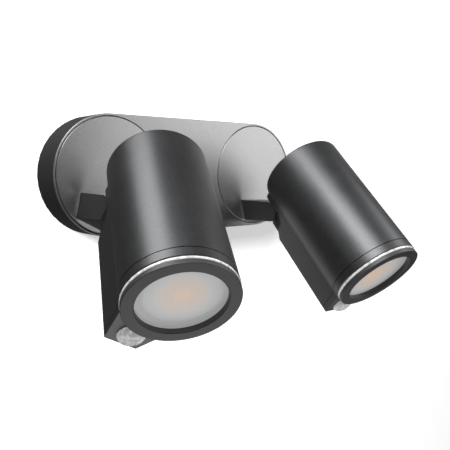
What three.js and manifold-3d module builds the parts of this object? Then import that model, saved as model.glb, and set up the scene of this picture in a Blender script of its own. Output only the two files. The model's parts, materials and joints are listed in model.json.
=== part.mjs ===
// Twin wall spotlight with motion sensors: an oblong wall box carries two discs that swivel, each disc
// carries a short forked arm, and a cylindrical lamp head tilts in each fork.
//
// The wall box is modelled in a wall frame: x to the right, y up, z out from the wall. The exported group
// turns it so that the wall is the plane y = 0, the light stands out along -Y and +Z is up.
// A disc has the same frame at the middle of its front face. A head's own frame has its origin at the middle
// of the front rim, z along the light beam (so a depth behind the rim is -z) and y away from the keel.
import * as THREE from 'three';
import { mergeVertices } from 'three/addons/utils/BufferGeometryUtils.js';
import { ConvexGeometry } from 'three/addons/geometries/ConvexGeometry.js';
import Module from 'manifold-3d';

const wasm = await Module();
wasm.setup();

// ---- Driving dimensions, in millimetres and degrees ----

const gap = 0.3; // clearance left wherever two pieces meet
const reach = 200; // longer than anything a cutter has to pass through

const box = {
  spacing: 159, // between the two disc centres
  radius: 50,
  depth: 31.5, // wall to front face
  wall: 2.5,
  recessDepth: 5, // seat that a disc turns in
  recessWall: 1.8, // least thickness round that seat
  floor: 3, // thickness under that seat
};

const seal = { thickness: 1.2, width: 2.2, inset: 0.2 }; // strip behind the housing's rim

const plate = {
  thickness: 1.8, // the steel bracket behind the box
  radius: box.radius - 4,
  slotWidth: 5.2,
  slotLength: 13,
  cableHoleX: 8,
  cableHoleY: -24,
  cableHoleRadius: 9,
  lugX: 45,
  lugWidth: 16,
  lugHeight: 13,
  screwHeight: 8, // of the cover screws above the wall
  screwRadius: 2.5,
  screwLength: 7.5,
  screwSunk: 0.4, // below the housing's skin
  earthX: -62,
  earthY: -24,
  earthHeadRadius: 3.6,
  earthHeadHeight: 2.4,
};

const grommetLip = { bore: 5, width: 2, thickness: 2, rearInset: 0.4 };

const terminal = { middleX: -27, length: 30, width: 18, height: 14, ways: 3, screwWell: 2.6, wireHole: 2.2 };

const board = {
  length: 108,
  width: 40,
  thickness: 1.6,
  middleY: 22,
  height: 7, // of its back above the wall
  pegInset: 4,
  pegRadius: 2.6,
  tipRadius: 1.4,
  tipProud: 2, // length of a peg's tip in front of the board
};

// Parts on the board: their places along it, and the room left between each and the box in front of it.
const transformerSize = {
  x: -8,
  core: 26,
  coreWidth: 20,
  winding: 18,
  windingWidth: 25,
  step: 3,
  room: 3.1,
};
const capacitorSize = { x: 36, y: 8, length: 20, room: 2.6 };
const relaySize = { x: -38, length: 19, width: 15, room: 2.1 };

const disc = {
  radius: box.radius - box.recessWall - gap,
  rise: 2.3, // height of the pad that the arm stands on
  spigotRadius: 14,
  spigotBore: 9,
  ringSealWidth: 2.2,
  ringSealThickness: 1.6,
  washerThickness: 1,
  nutThickness: 4,
  nutRadius: 20,
  nutNotches: 4,
  notchDepth: 2,
  notchWidth: 4,
  skin: 1, // left in front of the cable's channel
  wellDepth: 2.5, // seats of the two arm screws
};

const arm = {
  drop: 34.7, // from the disc's centre down to the arm's centre line
  height: 19.6,
  topHalfWidth: 19.4,
  bottomHalfWidth: 14.1,
  pivotOut: 36.1, // from the disc's face to the tilt axis
  knuckleRadius: 9.3,
  endScale: 0.95, // width at the far end, as a share of the root's
  screwX: 10,
  screwRadius: 2,
  screwDepth: 8,
  screwHeadProud: 1.4, // head radius beyond the thread's
  screwHeadHeight: 1.8,
  screwSocket: 1,
};

const hinge = {
  boltRadius: 3,
  headRadius: 5,
  headSeat: 12.3, // from the arm's middle plane to the seat of the bolt head
  headHeight: 2.4,
  socketRadius: 2.2,
  socketDepth: 1.2,
  tip: 13, // from the middle plane to the bolt's blind end
  washerThickness: 1,
  washerRadius: 8,
  lug: 5.6, // half width of the lamp head's hinge lug
};
arm.slotHalf = hinge.lug + hinge.washerThickness + 2 * gap;

const head = {
  radius: 36.15,
  length: 125.1,
  wall: 2.5,
  rearWall: 3,
  rearRound: 2.7,
  seam: 12, // depth of the joint between collar and casing
  sleeve: 7, // length of the collar inside the casing
  pivotInset: 10.8, // rear of the casing to the tilt axis
  pad: 0.05, // height of the flat under the casing that clears the arm
};
head.pivotDepth = head.length - head.pivotInset; // front rim to tilt axis, along the beam
head.pivotOff = head.radius + head.pad + gap + arm.knuckleRadius; // beam axis to tilt axis

const keel = {
  drop: 18.65, // casing's radius to the keel's flat bottom
  step: 4.8, // height of the saddle in front of the arm
  halfWidth: 12.5,
  rootHalfWidth: 20.8,
  rootSunk: 0.37, // depth of the flanks' upper edges inside the casing
  front: 7.1, // depth of its front face
  endInset: 26.3, // tilt axis to the end of the flat bottom
  groove: 13, // outer radius of the cable's groove round the tilt bolt
  grooveFloor: 1.6, // metal left round the bolt inside that groove
};
keel.bottom = head.radius + keel.drop; // beam axis to the flat bottom
keel.saddle = keel.bottom - keel.step; // beam axis to the saddle
keel.end = head.pivotDepth - keel.endInset; // depth where the flat bottom ends
// Beam axis to the flanks' upper edges.
keel.rootDepth = Math.sqrt(head.radius ** 2 - keel.rootHalfWidth ** 2) - keel.rootSunk;

const rim = {
  bezelInset: 0.45, // casing's radius less the bezel's
  ringInset: 0.25,
  border: 7.9, // width of the bezel's front face
  bezelThickness: 3.1,
  skirtInset: 5.6, // bezel's radius less the skirt's
  skirtWall: 1.5,
  skirtEnd: 16,
  ringThickness: 1.8,
  edge: 0.5,
};
rim.bezelRadius = head.radius - rim.bezelInset;
rim.ringRadius = head.radius - rim.ringInset;
rim.opening = rim.bezelRadius - rim.border;
rim.skirtRadius = rim.bezelRadius - rim.skirtInset;

const glass = { recess: 4, thickness: 3 };

const optics = {
  sealThickness: 1.5,
  sealWidth: 2.2,
  reflectorRim: 1.5,
  reflectorRimWidth: 2,
  reflectorWall: 1.2,
  reflectorDepth: 30,
  reflectorThroat: 9,
  chipRadius: 7.5,
  chipThickness: 1,
  boardRadius: 25,
  boardThickness: 1.6,
  sinkBase: 3.6,
  sinkFins: 12,
  sinkFinLength: 34,
  sinkFinThickness: 2,
  sinkInset: 7.65, // casing's radius less the fins'
  sinkCore: 8,
};

const sensor = {
  lip: 1.4, // keel's flat bottom to the window
  halfWidth: 9.3,
  halfHeight: 9.2,
  bulge: 5.4,
  wall: 1.1,
  bridgeHalf: 5, // of the web between window and ring
  windowHalf: 6.4, // half the opening behind the window
  boardHalfWidth: 7.5,
  boardHalfHeight: 7,
  boardDepth: 13.8,
  canRadius: 4,
  canHeight: 4.2,
};
sensor.middle = keel.bottom - sensor.lip - sensor.halfHeight; // beam axis to the middle of the window

const cable = { radius: 1.4, bore: 3, channelHalf: 2.2, bend: 6, sides: 8, armSteps: 22, headSteps: 26 };

const rest = { leftSwivel: -28.7, rightSwivel: -2, tilt: 45 }; // degrees

const round = 36; // sides of a large circle
const medium = 20; // sides of a hidden ring
const small = 12; // sides of a small circle

const finishes = {
  greySatin: { color: 0x9a9b9c, roughness: 0.45, metalness: 0.6 },
  anthracite: { color: 0x47484a, roughness: 0.4, metalness: 0.55 },
  anthraciteDark: { color: 0x2c2d2f, roughness: 0.5, metalness: 0.4 },
  bezelBlack: { color: 0x3a3b3d, roughness: 0.5, metalness: 0.3 },
  clearPlastic: { color: 0xf2f4f5, roughness: 0.15, metalness: 0 },
  frostedGlass: { color: 0xd8d6d2, roughness: 0.55, metalness: 0 },
  rubber: { color: 0x1c1c1d, roughness: 0.85, metalness: 0 },
  zincSteel: { color: 0xb4b6b8, roughness: 0.35, metalness: 0.9 },
  bareAluminium: { color: 0xc6c8ca, roughness: 0.4, metalness: 0.9 },
  reflectorSilver: { color: 0xe4e5e6, roughness: 0.15, metalness: 0.95 },
  circuitGreen: { color: 0x1f5a38, roughness: 0.5, metalness: 0 },
  boardWhite: { color: 0xeeeeea, roughness: 0.5, metalness: 0 },
  phosphor: { color: 0xf2c04a, roughness: 0.5, metalness: 0 },
  whitePlastic: { color: 0xe2e1dc, roughness: 0.5, metalness: 0 },
  blackPlastic: { color: 0x232325, roughness: 0.6, metalness: 0 },
  copperTape: { color: 0xb98a3c, roughness: 0.45, metalness: 0.2 },
  cableGrey: { color: 0x8a8b8c, roughness: 0.6, metalness: 0 },
};

// ---- Making solids ----

// A closed three.js geometry as a solid, with coincident corners joined and its faces pointing out.
function solid(geometry) {
  const loose = geometry.index ? geometry.toNonIndexed() : geometry.clone();
  loose.deleteAttribute('normal');
  loose.deleteAttribute('uv');
  const merged = mergeVertices(loose, 1e-3);
  const corners = merged.getAttribute('position').array;
  const index = merged.index.array;
  const triangles = [];
  for (let i = 0; i < index.length; i += 3) {
    const [a, b, c] = [index[i], index[i + 1], index[i + 2]];
    if (a !== b && b !== c && c !== a) triangles.push(a, b, c);
  }
  const build = (triVerts) => {
    const mesh = new wasm.Mesh({ numProp: 3, vertProperties: corners, triVerts });
    return new wasm.Manifold(mesh);
  };
  const made = build(new Uint32Array(triangles));
  if (made.volume() > 0) return made;
  for (let i = 0; i < triangles.length; i += 3) {
    [triangles[i + 1], triangles[i + 2]] = [triangles[i + 2], triangles[i + 1]];
  }
  return build(new Uint32Array(triangles));
}

function toGeometry(made) {
  const mesh = made.getMesh();
  const geometry = new THREE.BufferGeometry();
  geometry.setAttribute('position', new THREE.BufferAttribute(Float32Array.from(mesh.vertProperties), 3));
  geometry.setIndex(new THREE.BufferAttribute(Uint32Array.from(mesh.triVerts), 1));
  return geometry;
}

function piece(group, name, made, finishName) {
  const geometry = toGeometry(made).toNonIndexed();
  geometry.computeVertexNormals();
  const mesh = new THREE.Mesh(geometry, new THREE.MeshStandardMaterial(finishes[finishName]));
  mesh.name = name;
  group.add(mesh);
  return mesh;
}

// A body turned about the local z axis from a profile of [radius, z] points.
function turned(profile, sides = round) {
  const points = profile.map(([radius, z]) => new THREE.Vector2(radius, z));
  const closed = profile[0][0] > 0 ? [...points, points[0]] : points;
  return solid(new THREE.LatheGeometry(closed, sides).rotateX(Math.PI / 2));
}

function rod(radius, zFrom, zTo, sides = small) {
  return turned([[0, zFrom], [radius, zFrom], [radius, zTo], [0, zTo]], sides);
}

function tube(outer, inner, zFrom, zTo, sides = medium) {
  return turned([[outer, zFrom], [outer, zTo], [inner, zTo], [inner, zFrom]], sides);
}

// A rod along x.
function crossRod(radius, xFrom, xTo, sides = small) {
  const geometry = new THREE.CylinderGeometry(radius, radius, xTo - xFrom, sides);
  return solid(geometry.rotateZ(Math.PI / 2).translate((xFrom + xTo) / 2, 0, 0));
}

function block(xFrom, xTo, yFrom, yTo, zFrom, zTo) {
  const geometry = new THREE.BoxGeometry(xTo - xFrom, yTo - yFrom, zTo - zFrom);
  return solid(geometry.translate((xFrom + xTo) / 2, (yFrom + yTo) / 2, (zFrom + zTo) / 2));
}

// curveSegments is half the number of sides on each arc of the outline.
function prism(shape, zFrom, zTo, curveSegments = round / 4) {
  const settings = { depth: zTo - zFrom, bevelEnabled: false, curveSegments };
  return solid(new THREE.ExtrudeGeometry(shape, settings).translate(0, 0, zFrom));
}

// An outline drawn with z to the right and y up, extruded along x and centred on the plane x = 0.
function sidePrism(shape, width, curveSegments = small / 2) {
  const settings = { depth: width, bevelEnabled: false, curveSegments };
  const geometry = new THREE.ExtrudeGeometry(shape, settings);
  return solid(geometry.rotateY(-Math.PI / 2).translate(width / 2, 0, 0));
}

function polygon(points) {
  return new THREE.Shape(points.map(([x, y]) => new THREE.Vector2(x, y)));
}

function hull(points) {
  return solid(new ConvexGeometry(points.map(([x, y, z]) => new THREE.Vector3(x, y, z))));
}

function obround(radius, spacing) {
  const shape = new THREE.Shape();
  shape.absarc(spacing / 2, 0, radius, -Math.PI / 2, Math.PI / 2, false);
  shape.absarc(-spacing / 2, 0, radius, Math.PI / 2, (3 * Math.PI) / 2, false);
  shape.closePath();
  return shape;
}

function move(made, x, y, z) {
  return solid(toGeometry(made).translate(x, y, z));
}

function cableAlong(points, steps) {
  const section = new THREE.Shape().absarc(0, 0, cable.radius, 0, 2 * Math.PI, false);
  const corners = points.map(([x, y, z]) => new THREE.Vector3(x, y, z));
  const path = new THREE.CatmullRomCurve3(corners, false, 'centripetal');
  const settings = { steps, extrudePath: path, bevelEnabled: false, curveSegments: cable.sides / 2 };
  return solid(new THREE.ExtrudeGeometry(section, settings));
}

// ---- Wall box ----

const floorBack = box.depth - box.recessDepth - box.floor; // the inside of the wall under a disc's seat
const coverBack = seal.thickness + gap; // rear rim of the housing
const pocketFront = box.depth - box.wall; // the inside of the front wall between the seats
const discCentres = [-box.spacing / 2, box.spacing / 2];

// The level hole of a cover screw, through the housing's lower wall and the bracket's lug.
function coverScrewHole(side) {
  const hole = toGeometry(rod(plate.screwRadius + gap, -reach, 0)).rotateX(-Math.PI / 2);
  return solid(hole.translate(side * plate.lugX, 0, plate.screwHeight));
}

function housing() {
  const outer = prism(obround(box.radius, box.spacing), coverBack, box.depth);
  const innerRadius = box.radius - box.wall;
  const cavity = prism(obround(innerRadius, box.spacing), -1, floorBack);
  const recessRadius = disc.radius + gap;
  const recessFloor = box.depth - box.recessDepth;
  const pocketHalf = box.spacing / 2 - recessRadius - box.floor;
  const pocket = block(-pocketHalf, pocketHalf, -innerRadius, innerRadius, floorBack - 1, pocketFront);
  const sealRadius = disc.spigotRadius + disc.ringSealWidth + 2 * gap;
  const seat = rod(recessRadius, recessFloor, box.depth + 1, round)
    .add(rod(disc.spigotRadius + gap, floorBack - 1, box.depth, medium))
    .add(rod(sealRadius, recessFloor - disc.ringSealThickness - gap, box.depth, medium));
  let made = outer.subtract(cavity).subtract(pocket);
  for (const x of discCentres) made = made.subtract(move(seat, x, 0, 0));
  return made.subtract(coverScrewHole(-1)).subtract(coverScrewHole(1));
}

// The four corners of the driver board where it stands on pegs.
function boardCorners() {
  const x = board.length / 2 - board.pegInset;
  const y = board.width / 2 - board.pegInset;
  return [[-x, board.middleY - y], [x, board.middleY - y], [-x, board.middleY + y], [x, board.middleY + y]];
}

function bracket() {
  const { thickness, radius, slotWidth, slotLength, lugX, lugWidth, lugHeight } = plate;
  let made = prism(obround(radius, box.spacing), 0, thickness);
  for (const x of [-lugX, lugX]) {
    made = made.add(block(x - lugWidth / 2, x + lugWidth / 2, -radius, -radius + thickness, 0, lugHeight));
  }
  const peg = rod(board.pegRadius, 1, board.height - gap)
    .add(rod(board.tipRadius, 1, board.height + board.thickness + board.tipProud));
  for (const [x, y] of boardCorners()) made = made.add(move(peg, x, y, 0));
  const slot = prism(obround(slotWidth / 2, slotLength - slotWidth), -1, thickness + 1, small / 2);
  for (const x of discCentres) made = made.subtract(move(slot, x, 0, 0));
  const entry = rod(plate.cableHoleRadius, -1, thickness + 1, medium);
  const earthHole = rod(arm.screwRadius + gap, -1, thickness + 1);
  return made
    .subtract(coverScrewHole(-1))
    .subtract(coverScrewHole(1))
    .subtract(move(entry, plate.cableHoleX, plate.cableHoleY, 0))
    .subtract(move(earthHole, plate.earthX, plate.earthY, 0));
}

// A rubber ring that lines the bracket's cable hole, with a lip in front of the plate.
function grommet() {
  const { bore, width, thickness, rearInset } = grommetLip;
  const neck = plate.cableHoleRadius - gap;
  const front = plate.thickness + gap;
  const profile = [
    [bore, rearInset],
    [neck, rearInset],
    [neck, front],
    [neck + width, front],
    [neck + width, plate.thickness + thickness],
    [bore, plate.thickness + thickness],
  ];
  return move(turned(profile, medium), plate.cableHoleX, plate.cableHoleY, 0);
}

function terminalBlock() {
  const { middleX, length, width, height, ways, screwWell, wireHole } = terminal;
  const foot = plate.thickness + gap;
  let made = block(-length / 2, length / 2, -width / 2, width / 2, foot, foot + height);
  for (let way = 0; way < ways; way += 1) {
    const x = (way - (ways - 1) / 2) * (length / ways);
    const well = rod(screwWell, foot + height / 2, foot + height + 1);
    const hole = toGeometry(rod(wireHole, -reach, reach)).rotateX(Math.PI / 2);
    made = made.subtract(move(well, x, 0, 0)).subtract(solid(hole.translate(x, 0, foot + height / 3)));
  }
  return move(made, middleX, plate.cableHoleY, 0);
}

function driverBoard() {
  const { length, width, middleY, height, thickness } = board;
  const bottom = middleY - width / 2;
  let made = block(-length / 2, length / 2, bottom, bottom + width, height, height + thickness);
  const hole = rod(board.tipRadius + gap, height - 1, height + thickness + 1);
  for (const [x, y] of boardCorners()) made = made.subtract(move(hole, x, y, 0));
  return made;
}

const onBoard = board.height + board.thickness + gap; // back of the parts that stand on the board

// The tallest part: it reaches into the deep pocket between the discs' seats.
function transformer() {
  const { x, core, coreWidth, winding, windingWidth, step, room } = transformerSize;
  const front = pocketFront - room;
  const iron = block(-core / 2, core / 2, -coreWidth / 2, coreWidth / 2, onBoard, front);
  const [half, halfWidth] = [winding / 2, windingWidth / 2];
  const coil = block(-half, half, -halfWidth, halfWidth, onBoard + step, front - step);
  return move(iron.add(coil), x, board.middleY, 0);
}

function capacitor() {
  const { x, y, length, room } = capacitorSize;
  const radius = (floorBack - room - onBoard) / 2;
  const lying = toGeometry(rod(radius, -length / 2, length / 2)).rotateY(Math.PI / 2);
  return solid(lying.translate(x, board.middleY + y, onBoard + radius));
}

function relay() {
  const { x, length, width, room } = relaySize;
  const made = block(-length / 2, length / 2, -width / 2, width / 2, onBoard, floorBack - room);
  return move(made, x, board.middleY, 0);
}

const hexShare = 0.5; // socket's corner radius, as a share of the screw head's or grub screw's

// A screw along z with the underside of its head at z = 0.
function hexScrew(radius, headRadius, headHeight, length, socketDepth) {
  const body = rod(headRadius, 0, headHeight).add(rod(radius, -length, headHeight / 2));
  return body.subtract(rod(headRadius * hexShare, headHeight - socketDepth, headHeight + 1, 6));
}

function grubScrew(radius, length) {
  return rod(radius, -length, 0).subtract(rod(radius * hexShare, -length / 3, 1, 6));
}

function wallBox(group) {
  piece(group, 'wall_bracket', bracket(), 'zincSteel');
  const sealRadius = box.radius - seal.inset;
  const outer = prism(obround(sealRadius, box.spacing), 0, seal.thickness);
  const inner = prism(obround(sealRadius - seal.width, box.spacing), -1, seal.thickness + 1);
  piece(group, 'rear_seal', outer.subtract(inner), 'rubber');
  piece(group, 'housing', housing(), 'greySatin');
  piece(group, 'cable_grommet', grommet(), 'rubber');
  piece(group, 'terminal_block', terminalBlock(), 'whitePlastic');
  piece(group, 'driver_board', driverBoard(), 'circuitGreen');
  piece(group, 'driver_transformer', transformer(), 'copperTape');
  piece(group, 'driver_capacitor', capacitor(), 'blackPlastic');
  piece(group, 'switching_relay', relay(), 'blackPlastic');
  const { earthHeadRadius, earthHeadHeight, thickness } = plate;
  const earth = hexScrew(arm.screwRadius, earthHeadRadius, earthHeadHeight, thickness, earthHeadHeight / 2);
  piece(group, 'earth_screw', move(earth, plate.earthX, plate.earthY, thickness + gap), 'zincSteel');
  for (const [label, side] of [['left', -1], ['right', 1]]) {
    const screw = toGeometry(grubScrew(plate.screwRadius, plate.screwLength)).rotateX(Math.PI / 2);
    screw.translate(side * plate.lugX, plate.screwSunk - box.radius, plate.screwHeight);
    piece(group, `cover_screw_${label}`, solid(screw), 'zincSteel');
  }
}

// ---- Disc and arm ----

const discBack = gap - box.recessDepth; // rear face of a disc, in its own frame
const padTop = disc.rise;
const washerFront = -box.recessDepth - box.floor - gap;
const nutFront = washerFront - disc.washerThickness - gap;
const nutBack = nutFront - disc.nutThickness;
const spigotEnd = nutBack - gap;
const wellFloor = discBack + disc.wellDepth; // where the heads of the arm screws seat

// The arm's section is a trapezoid; this gives its corners at a distance from the disc's face.
function armSection(z, scale) {
  const top = arm.height / 2 - arm.drop;
  const bottom = -arm.height / 2 - arm.drop;
  const topHalf = arm.topHalfWidth * scale;
  const bottomHalf = arm.bottomHalfWidth * scale;
  return [[-topHalf, top, z], [topHalf, top, z], [bottomHalf, bottom, z], [-bottomHalf, bottom, z]];
}

function swivelDisc() {
  const outline = [];
  for (let i = 0; i < round; i += 1) {
    const angle = (2 * Math.PI * i) / round;
    const x = disc.radius * Math.cos(angle);
    const y = disc.radius * Math.sin(angle);
    outline.push([x, y, discBack], [x, y, 0]);
  }
  const body = hull([...outline, ...armSection(padTop, 1)]);
  const spigot = tube(disc.spigotRadius, disc.spigotBore, spigotEnd, discBack + 1);
  const half = cable.channelHalf;
  const channel = block(-half, half, -arm.drop, 0, discBack - 1, -disc.skin);
  const slot = block(-half, half, -arm.drop, -arm.drop + cable.bend, discBack - 1, reach);
  const well = rod(arm.screwRadius + arm.screwHeadProud + gap, -reach, wellFloor)
    .add(rod(arm.screwRadius + gap, -reach, reach));
  return body.add(spigot)
    .subtract(rod(disc.spigotBore, spigotEnd - 1, -disc.skin, medium))
    .subtract(channel)
    .subtract(slot)
    .subtract(move(rod(cable.bore, -reach, reach), 0, -arm.drop, 0))
    .subtract(move(well, -arm.screwX, -arm.drop, 0))
    .subtract(move(well, arm.screwX, -arm.drop, 0));
}

function forkArm() {
  const root = padTop + gap;
  const end = arm.pivotOut + arm.knuckleRadius;
  const tapered = hull([...armSection(root, 1), ...armSection(end, arm.endScale)]);
  const outline = new THREE.Shape();
  outline.moveTo(root, arm.height / 2 - arm.drop);
  outline.lineTo(root, -arm.height / 2 - arm.drop);
  outline.absarc(arm.pivotOut, -arm.drop, arm.knuckleRadius, -Math.PI / 2, Math.PI / 2, false);
  outline.closePath();
  const slotBottom = arm.pivotOut - arm.knuckleRadius - 2 * gap;
  const slot = block(-arm.slotHalf, arm.slotHalf, -reach, reach, slotBottom, reach);
  const boltBore = crossRod(hinge.boltRadius + gap, -hinge.tip - gap, reach)
    .add(crossRod(hinge.headRadius + gap, hinge.headSeat, reach));
  const screwHole = rod(arm.screwRadius + gap, 0, root + arm.screwDepth + 1);
  return tapered
    .intersect(sidePrism(outline, 4 * arm.topHalfWidth))
    .subtract(slot)
    .subtract(move(rod(cable.bore, 0, reach), 0, -arm.drop, 0))
    .subtract(move(boltBore, 0, -arm.drop, arm.pivotOut))
    .subtract(move(screwHole, -arm.screwX, -arm.drop, 0))
    .subtract(move(screwHole, arm.screwX, -arm.drop, 0));
}

// Runs down the spigot, along the channel behind the disc and out through the arm.
function armCable() {
  const inChannel = discBack + cable.radius + gap;
  const points = [
    [0, 0, spigotEnd],
    [0, 0, -box.recessDepth - 2],
    [0, -4, inChannel],
    [0, -16, inChannel],
    [0, -arm.drop + cable.bend, inChannel],
    [0, -arm.drop + cable.bend / 3, inChannel + cable.bend / 4],
    [0, -arm.drop, inChannel + cable.bend],
    [0, -arm.drop, 12],
    [0, -arm.drop, arm.pivotOut - arm.knuckleRadius - 1],
  ];
  return cableAlong(points, cable.armSteps);
}

function swivelNut() {
  let nut = tube(disc.nutRadius, disc.spigotRadius + gap, nutBack, nutFront);
  for (let i = 0; i < disc.nutNotches; i += 1) {
    const half = disc.notchWidth / 2;
    const floor = disc.nutRadius - disc.notchDepth;
    const notch = toGeometry(block(floor, disc.nutRadius + 1, -half, half, nutBack - 1, nutFront + 1));
    nut = nut.subtract(solid(notch.rotateZ((2 * Math.PI * i) / disc.nutNotches)));
  }
  return nut;
}

function tiltBolt() {
  const headEnd = hinge.headSeat + hinge.headHeight;
  return crossRod(hinge.boltRadius, -hinge.tip, hinge.headSeat + 1)
    .add(crossRod(hinge.headRadius, hinge.headSeat + gap, headEnd))
    .subtract(crossRod(hinge.socketRadius, headEnd - hinge.socketDepth, reach, 6));
}

function discAndArm(group, label) {
  piece(group, `${label}_swivel_disc`, swivelDisc(), 'greySatin');
  const sealInner = disc.spigotRadius + gap;
  const sealFront = -box.recessDepth;
  const sealOuter = sealInner + disc.ringSealWidth;
  const ringSeal = tube(sealOuter, sealInner, sealFront - disc.ringSealThickness, sealFront);
  piece(group, `${label}_disc_seal`, ringSeal, 'rubber');
  const washer = tube(disc.nutRadius - 1, sealInner, washerFront - disc.washerThickness, washerFront);
  piece(group, `${label}_swivel_washer`, washer, 'blackPlastic');
  piece(group, `${label}_swivel_nut`, swivelNut(), 'zincSteel');
  piece(group, `${label}_arm`, forkArm(), 'anthraciteDark');
  const { screwRadius, screwHeadProud, screwHeadHeight, screwSocket, screwDepth } = arm;
  const length = padTop + gap + screwDepth - wellFloor;
  for (const [name, side] of [['a', -1], ['b', 1]]) {
    const screw = hexScrew(screwRadius, screwRadius + screwHeadProud, screwHeadHeight, length, screwSocket);
    const turnedOver = toGeometry(screw).rotateX(Math.PI);
    const placed = turnedOver.translate(side * arm.screwX, -arm.drop, wellFloor - gap);
    piece(group, `${label}_arm_screw_${name}`, solid(placed), 'zincSteel');
  }
  piece(group, `${label}_arm_cable`, armCable(), 'cableGrey');
  piece(group, `${label}_tilt_bolt`, move(tiltBolt(), 0, -arm.drop, arm.pivotOut), 'zincSteel');
  const near = hinge.lug + gap;
  const frictionWasher = crossRod(hinge.washerRadius, near, near + hinge.washerThickness)
    .subtract(crossRod(hinge.boltRadius + gap, 0, reach));
  for (const [name, turn] of [['outer', Math.PI], ['inner', 0]]) {
    const placed = toGeometry(frictionWasher).rotateY(turn).translate(0, -arm.drop, arm.pivotOut);
    piece(group, `${label}_tilt_washer_${name}`, solid(placed), 'blackPlastic');
  }
}

// ---- Lamp head ----

// The half width of the keel's flank at a distance below the beam axis.
function keelHalfWidth(below) {
  const slope = (keel.rootHalfWidth - keel.halfWidth) / (keel.bottom - keel.rootDepth);
  return keel.halfWidth + slope * (keel.bottom - below);
}

// The keel's section between two depths behind the rim, drawn in by an inset.
function keelWedge(from, to, inset) {
  const low = keel.bottom - inset;
  const high = keel.rootDepth - inset;
  const lowHalf = keelHalfWidth(low) - inset;
  const highHalf = keelHalfWidth(high) - inset;
  const corners = [[-lowHalf, -low], [lowHalf, -low], [highHalf, -high], [-highHalf, -high]];
  return prism(polygon(corners), -to, -from);
}

// A wedge of the keel trimmed to its side view: step in front of the arm, flat pad under the casing.
function keelBody() {
  const saddleEnd = head.pivotDepth - arm.knuckleRadius - 3 * gap;
  const pad = head.radius + head.pad;
  const rear = head.length - head.rearRound / 2;
  const side = polygon([
    [-head.seam, 0],
    [-head.seam, -keel.bottom],
    [-keel.end, -keel.bottom],
    [-keel.end - keel.step, -keel.saddle],
    [-saddleEnd, -keel.saddle],
    [-saddleEnd, -pad],
    [-rear, -pad],
    [gap - head.length, -pad + head.rearRound],
    [gap - head.length, 0],
  ]);
  return keelWedge(head.seam, head.length, 0).intersect(sidePrism(side, 4 * keel.rootHalfWidth));
}

function casing() {
  const inner = head.radius - head.wall;
  const front = -head.seam - gap / 2;
  const steps = 4;
  const outline = [[0, front], [head.radius, front]];
  for (let i = 0; i <= steps; i += 1) {
    const angle = (i / steps) * (Math.PI / 2);
    const r = head.radius - head.rearRound * (1 - Math.cos(angle));
    outline.push([r, -head.length + head.rearRound * (1 - Math.sin(angle))]);
  }
  outline.push([0, -head.length]);
  const lugRadius = arm.knuckleRadius - gap;
  const lugSide = new THREE.Shape();
  lugSide.absarc(-head.pivotDepth, -head.pivotOff, lugRadius, Math.PI, 2 * Math.PI, false);
  lugSide.lineTo(-head.pivotDepth + lugRadius, -inner);
  lugSide.lineTo(-head.pivotDepth - lugRadius, -inner);
  lugSide.closePath();
  const hollow = rod(inner, -head.length + head.rearWall, 0, round);
  const keelHollow = keelWedge(0, keelCavityEnd, head.wall);
  const half = cable.channelHalf;
  const grooveFloor = hinge.boltRadius + keel.grooveFloor;
  const groove = toGeometry(tube(keel.groove, grooveFloor, -half, half)).rotateY(Math.PI / 2);
  const boltHole = crossRod(hinge.boltRadius + gap, -reach, reach);
  const frontCut = block(-reach, reach, -reach, reach, front, reach);
  return turned(outline)
    .add(keelBody())
    .add(sidePrism(lugSide, 2 * hinge.lug))
    .subtract(hollow)
    .subtract(keelHollow)
    .subtract(solid(groove.translate(0, -head.pivotOff, -head.pivotDepth)))
    .subtract(move(boltHole, 0, -head.pivotOff, -head.pivotDepth))
    .subtract(frontCut);
}

const keelCavityEnd = keel.end - head.wall; // depth where the keel's hollow ends
const ringBack = rim.bezelThickness + gap + rim.ringThickness; // rear face of the clear ring

function frontCollar() {
  const bore = rim.skirtRadius + gap;
  const sleeve = head.radius - head.wall - gap;
  const front = -ringBack - gap;
  const back = -head.seam + gap / 2;
  const ring = tube(head.radius, bore, back, front, round);
  const inner = tube(sleeve, bore, back - head.sleeve, back + 1, round);
  const foot = keelWedge(keel.front, head.seam - gap / 2, 0).subtract(rod(bore, -reach, reach, round));
  const w = sensor.windowHalf;
  const window = block(-w, w, -sensor.middle - w, -sensor.middle + w, -reach, reach);
  return ring.add(foot).add(inner).subtract(window);
}

// The clear ring and the faceted sensor window are one moulding.
function sensorLens() {
  const ringFront = -rim.bezelThickness - gap;
  const inner = rim.skirtRadius + gap;
  const ring = tube(rim.ringRadius, inner, -ringBack, ringFront, round);
  const base = -keel.front + gap;
  const dome = (shrink) => {
    const ball = new THREE.SphereGeometry(1, small, small);
    const sx = sensor.halfWidth - shrink;
    const sy = sensor.halfHeight - shrink;
    const sz = sensor.bulge - shrink;
    return solid(ball.scale(sx, sy, sz).translate(0, -sensor.middle, base));
  };
  const frontHalf = block(-reach, reach, -reach, reach, base, reach);
  const half = sensor.bridgeHalf;
  const bridgeLow = -sensor.middle + sensor.halfHeight / 2;
  const bridge = block(-half, half, bridgeLow, -inner - 1, -ringBack, ringFront);
  const hollow = dome(sensor.wall);
  const shell = dome(0).intersect(frontHalf).add(bridge).subtract(hollow);
  const bezelRoom = rod(rim.bezelRadius + gap, ringFront, reach, round);
  const collarRoom = rod(head.radius + gap, -reach, -ringBack, round);
  return shell.subtract(bezelRoom).subtract(collarRoom).add(ring);
}

function bezel() {
  const { bezelRadius, opening, bezelThickness, skirtRadius, skirtWall, skirtEnd, edge } = rim;
  const seat = -glass.recess + gap;
  return turned([
    [opening, 0],
    [bezelRadius - edge, 0],
    [bezelRadius, -edge],
    [bezelRadius, -bezelThickness],
    [skirtRadius, -bezelThickness],
    [skirtRadius, -skirtEnd],
    [skirtRadius - skirtWall, -skirtEnd],
    [skirtRadius - skirtWall, seat],
    [opening, seat],
  ]);
}

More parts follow.
